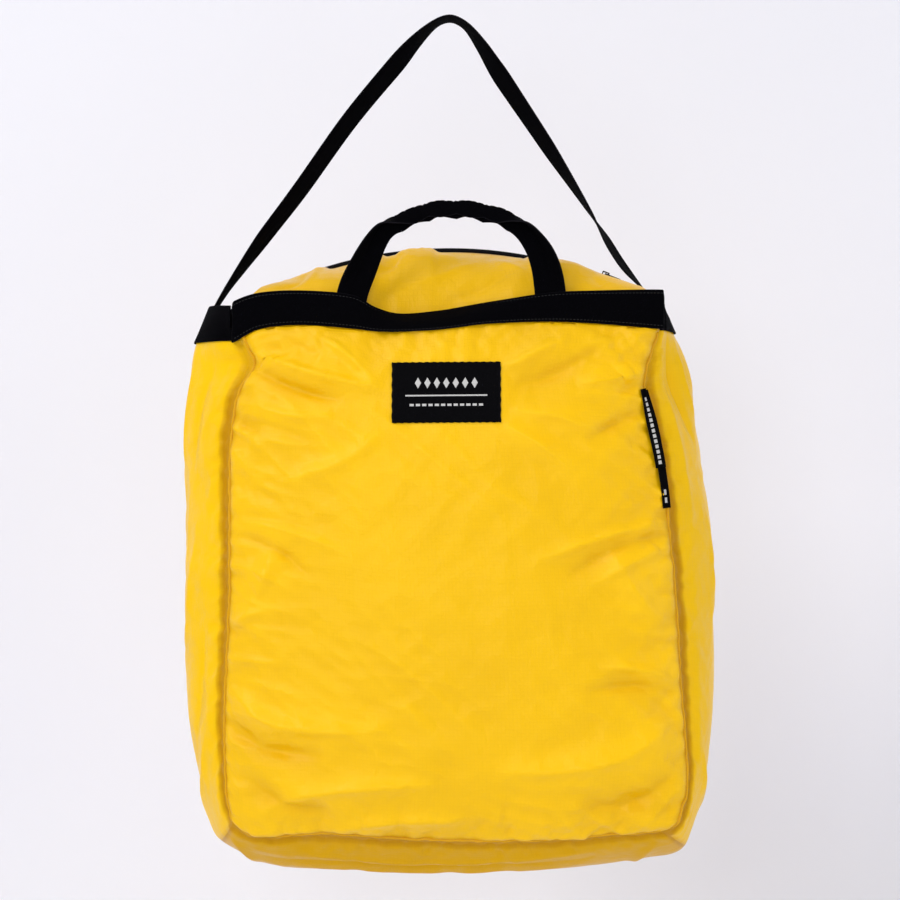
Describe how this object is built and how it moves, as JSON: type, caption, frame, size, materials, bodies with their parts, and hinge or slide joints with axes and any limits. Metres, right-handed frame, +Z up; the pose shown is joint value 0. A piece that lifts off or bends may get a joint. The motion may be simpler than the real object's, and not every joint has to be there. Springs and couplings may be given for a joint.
{
  "type": "foldable tote bag",
  "caption": "Puffed lightweight fabric tote with webbing-edged mouth, arched zip closure, carry handles and a shoulder strap.",
  "frame": {"origin": "underside of the shoulder strap at its top, where a peg or hand holds the bag", "axes": "+X to the right seen from the front, -Y out of the front panel, +Z up"},
  "size_m": [0.5305, 0.2198, 0.8526],
  "materials": {
    "nylon": "thin yellow ripstop nylon, soft satin",
    "nylon_binding": "folded yellow nylon seam binding",
    "webbing": "black ribbed nylon webbing, matte",
    "zip_tape": "black woven zip tape",
    "zip_coil": "black nylon coil, satin",
    "zip_metal": "black enamelled zip slider and pull",
    "label": "black damask-woven label with pale pattern"
  },
  "bodies": {
    "strap": {"shoulder_strap": "webbing"},
    "bag_core": {"gusset_left": "nylon", "gusset_right": "nylon", "gusset_base": "nylon", "side_band_left": "webbing", "side_band_right": "webbing", "strap_tail_left": "webbing", "strap_tail_right": "webbing", "zip_end_tab_left": "webbing", "zip_end_tab_right": "webbing"},
    "front_shell": {"front_panel": "nylon", "front_band": "webbing", "front_seam_binding": "nylon_binding", "front_handle_tail_left": "webbing", "front_handle_tail_right": "webbing", "woven_label": "label"},
    "back_shell": {"back_panel": "nylon", "back_band": "webbing", "back_seam_binding": "nylon_binding", "back_handle_tail_left": "webbing", "back_handle_tail_right": "webbing", "stow_pocket_panel": "nylon", "stow_pocket_hem": "nylon_binding"},
    "front_grip": {"front_handle": "webbing"},
    "back_grip": {"back_handle": "webbing"},
    "front_flap": {"front_closure_panel": "nylon", "front_zip_tape": "zip_tape", "front_zip_coil": "zip_coil"},
    "back_flap": {"back_closure_panel": "nylon", "back_zip_tape": "zip_tape", "back_zip_coil": "zip_coil"},
    "zip_runner": {"zip_slider": "zip_metal"},
    "zip_tab": {"zip_pull": "zip_metal"},
    "side_tag": {"tag_front_leaf": "label", "tag_rear_leaf": "label"}
  },
  "joints": [
    {"name": "strap_swing", "type": "hinge", "parent": "strap", "child": "bag_core", "pos_m": [0, 0, -0.286], "axis": [1, 0, 0], "range_deg": [-45, 45]},
    {"name": "flatten", "type": "slide", "parent": "bag_core", "child": "front_shell", "axis": [0, -1, 0], "range_m": [-0.05, 0], "deforming": ["gusset_left", "gusset_right", "gusset_base", "side_band_left", "side_band_right", "front_closure_panel", "front_zip_tape", "front_zip_coil", "back_closure_panel", "back_zip_tape", "back_zip_coil"]},
    {"name": "flatten_back", "type": "slide", "parent": "bag_core", "child": "back_shell", "axis": [0, 1, 0], "range_m": [-0.05, 0]},
    {"name": "front_handle_fold", "type": "hinge", "parent": "front_shell", "child": "front_grip", "pos_m": [0, -0.0865, -0.275], "axis": [1, 0, 0], "range_deg": [-30, 160]},
    {"name": "back_handle_fold", "type": "hinge", "parent": "back_shell", "child": "back_grip", "pos_m": [0, 0.0865, -0.275], "axis": [1, 0, 0], "range_deg": [0, 168]},
    {"name": "front_flap_open", "type": "hinge", "parent": "bag_core", "child": "front_flap", "pos_m": [0, -0.08, -0.275], "axis": [1, 0, 0], "range_deg": [0, 55]},
    {"name": "back_flap_open", "type": "hinge", "parent": "bag_core", "child": "back_flap", "pos_m": [0, 0.08, -0.275], "axis": [-1, 0, 0], "range_deg": [0, 55]},
    {"name": "zip_run", "type": "hinge", "parent": "bag_core", "child": "zip_runner", "pos_m": [0, 0, -0.6526], "axis": [0, -1, 0], "range_deg": [0, 42.63]},
    {"name": "zip_pull_lift", "type": "hinge", "parent": "zip_runner", "child": "zip_tab", "pos_m": [0.15549, 0, -0.25417], "axis": [0, -1, 0], "range_deg": [0, 150]},
    {"name": "side_tag_lift", "type": "hinge", "parent": "front_shell", "child": "side_tag", "pos_m": [0.2, -0.0875, -0.373], "axis": [-1, 0, 0], "range_deg": [0, 110]}
  ],
  "couplings": [
    {"joint": "flatten_back", "follows": "flatten", "ratio": 1}
  ]
}
